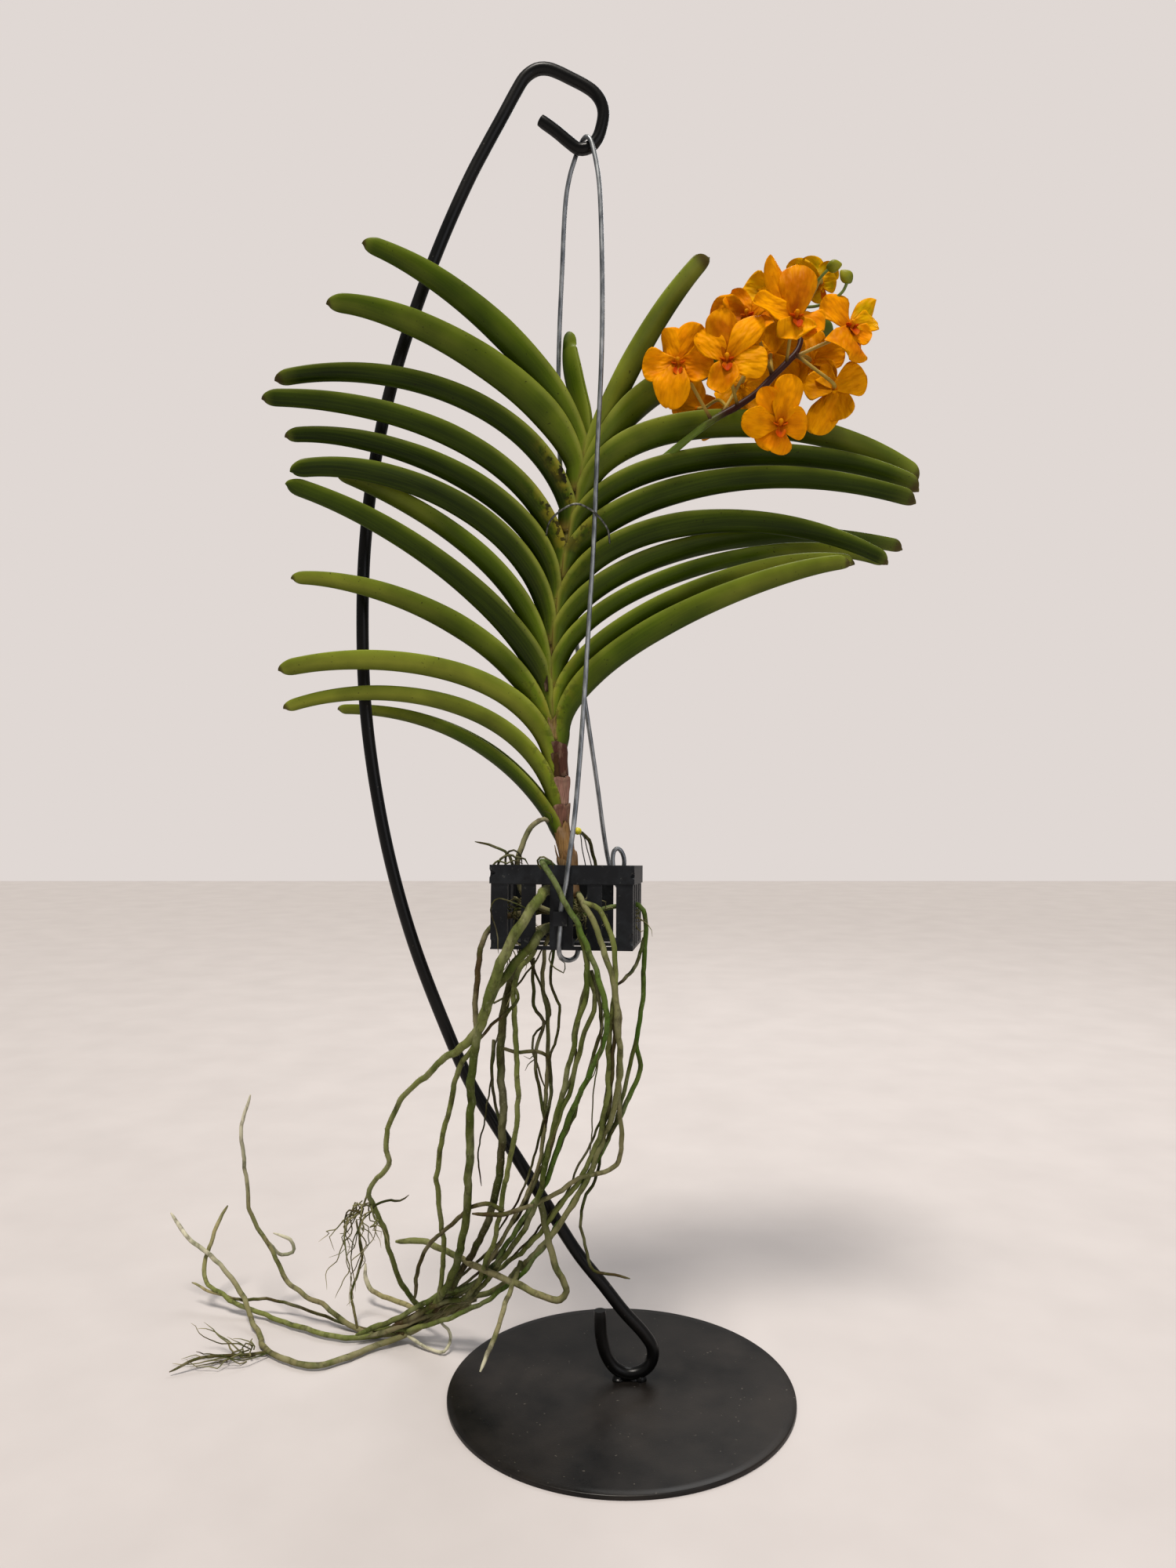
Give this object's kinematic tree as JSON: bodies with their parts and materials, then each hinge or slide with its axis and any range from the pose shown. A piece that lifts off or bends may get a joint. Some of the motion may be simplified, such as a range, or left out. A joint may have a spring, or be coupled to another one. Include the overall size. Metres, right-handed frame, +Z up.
{
  "type": "potted vanda orchid on a stand",
  "caption": "Vanda orchid with folded strap leaves, an orange flower spike and long bare roots, in a slatted basket hung by wire from a bent rod stand on a round plate.",
  "frame": {"origin": "centre of the base plate's underside", "axes": "+Z up, +X to the side the flower spike leans to, -Y to the front"},
  "size_m": [0.5622, 0.2668, 0.8936],
  "materials": {
    "black_paint": "satin black paint over steel, worn at the edges",
    "galvanised_wire": "dull galvanised wire",
    "thin_wire": "dark weathered wire",
    "black_plastic": "moulded black plastic, slightly dusty",
    "old_sheath": "stands for dry papery brown sheath",
    "stem_green": "stands for green living sheath",
    "leaf_green": "stands for thick waxy green leaf",
    "spike_green": "stands for green and purple flower stalk",
    "bloom_orange": "stands for waxy orange flower",
    "aerial_root": "stands for grey-green spongy root skin"
  },
  "bodies": {
    "root": {"base_plate": "black_paint", "stand_hook": "black_paint", "stand_upper_bow": "black_paint", "stand_lower_bow": "black_paint", "stand_foot": "black_paint", "hanger_wire": "galvanised_wire", "tie_wire": "thin_wire", "basket": "black_plastic", "stem_old_wood": "old_sheath", "stem_green": "stem_green", "leaf_left_01": "leaf_green", "leaf_left_02": "leaf_green", "leaf_left_03": "leaf_green", "leaf_left_04": "leaf_green", "leaf_left_05": "leaf_green", "leaf_left_06": "leaf_green", "leaf_left_07": "leaf_green", "leaf_left_08": "leaf_green", "leaf_left_09": "leaf_green", "leaf_left_10": "leaf_green", "leaf_left_11": "leaf_green", "leaf_left_12": "leaf_green", "leaf_centre": "leaf_green", "leaf_right_01": "leaf_green", "leaf_right_02": "leaf_green", "leaf_right_03": "leaf_green", "leaf_right_04": "leaf_green", "leaf_right_05": "leaf_green", "leaf_right_06": "leaf_green", "leaf_right_07": "leaf_green", "leaf_right_08": "leaf_green", "leaf_right_09": "leaf_green", "leaf_right_10": "leaf_green", "bloom_01": "bloom_orange", "bloom_02": "bloom_orange", "bloom_03": "bloom_orange", "bloom_04": "bloom_orange", "bloom_05": "bloom_orange", "bloom_06": "bloom_orange", "bloom_07": "bloom_orange", "bloom_08": "bloom_orange", "bloom_09": "bloom_orange", "bloom_10": "bloom_orange", "bloom_11": "bloom_orange", "bloom_12": "bloom_orange", "bloom_13": "bloom_orange", "flower_spike": "spike_green", "aerial_roots": "aerial_root"}
  },
  "joints": []
}
